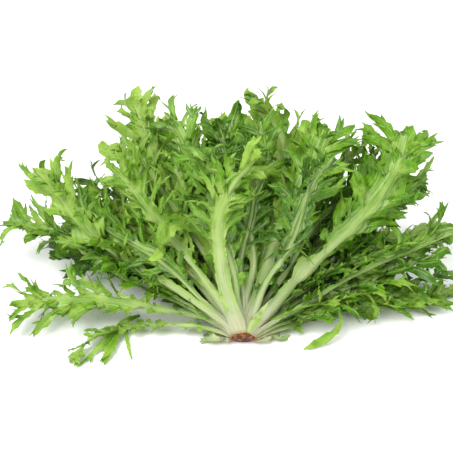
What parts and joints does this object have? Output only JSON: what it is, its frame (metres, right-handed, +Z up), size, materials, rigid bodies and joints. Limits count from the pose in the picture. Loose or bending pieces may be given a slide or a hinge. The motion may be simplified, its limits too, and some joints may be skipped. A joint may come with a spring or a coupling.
{
  "type": "head of curly endive",
  "caption": "Head of curly endive lying on its side: a short core with a brown cut face, and pale ribs that fan out from it into finely cut green leaves",
  "frame": {"origin": "on the surface it lies on, under the middle of the whole head's box", "axes": "+Z up, +Y from the cut stem towards the leaf tips, +X to the right seen from the cut stem"},
  "size_m": [0.4002, 0.2292, 0.1767],
  "materials": {
    "cut_stem": "pale flesh with a rough brown cut face",
    "torn_base": "pale moist leaf base",
    "outer_leaf": "satin green leaf with a pale rib",
    "middle_leaf": "satin green leaf with a pale rib",
    "heart_leaf": "satin yellow-green leaf with a pale rib"
  },
  "bodies": {
    "root": {"core": "cut_stem", "leaf_01": "outer_leaf", "leaf_02": "outer_leaf", "leaf_03": "outer_leaf", "leaf_04": "outer_leaf", "leaf_05": "middle_leaf", "leaf_06": "outer_leaf", "leaf_07": "outer_leaf", "leaf_08": "outer_leaf", "leaf_09": "outer_leaf", "leaf_10": "middle_leaf", "leaf_11": "outer_leaf", "leaf_12": "outer_leaf", "leaf_18": "outer_leaf", "leaf_19": "outer_leaf", "leaf_22": "outer_leaf", "leaf_26": "outer_leaf", "leaf_27": "outer_leaf", "leaf_28": "outer_leaf", "leaf_29": "outer_leaf", "leaf_30": "outer_leaf", "leaf_31": "outer_leaf", "leaf_34": "outer_leaf", "leaf_35": "outer_leaf", "leaf_36": "outer_leaf", "leaf_37": "outer_leaf", "leaf_38": "outer_leaf", "leaf_39": "middle_leaf", "leaf_40": "middle_leaf", "leaf_41": "middle_leaf", "leaf_42": "middle_leaf", "leaf_44": "middle_leaf", "leaf_46": "middle_leaf", "leaf_47": "middle_leaf", "leaf_48": "middle_leaf", "leaf_49": "middle_leaf", "leaf_50": "middle_leaf", "leaf_51": "middle_leaf", "leaf_52": "middle_leaf", "leaf_53": "middle_leaf", "leaf_55": "heart_leaf", "leaf_56": "middle_leaf", "leaf_57": "middle_leaf", "leaf_58": "heart_leaf", "leaf_59": "heart_leaf", "leaf_60": "heart_leaf", "leaf_61": "heart_leaf", "leaf_62": "heart_leaf", "leaf_63": "heart_leaf", "leaf_64": "heart_leaf", "leaf_65": "heart_leaf", "leaf_66": "heart_leaf", "leaf_67": "heart_leaf", "leaf_68": "heart_leaf", "torn_base_left": "torn_base", "torn_base_right": "torn_base"}
  },
  "joints": []
}
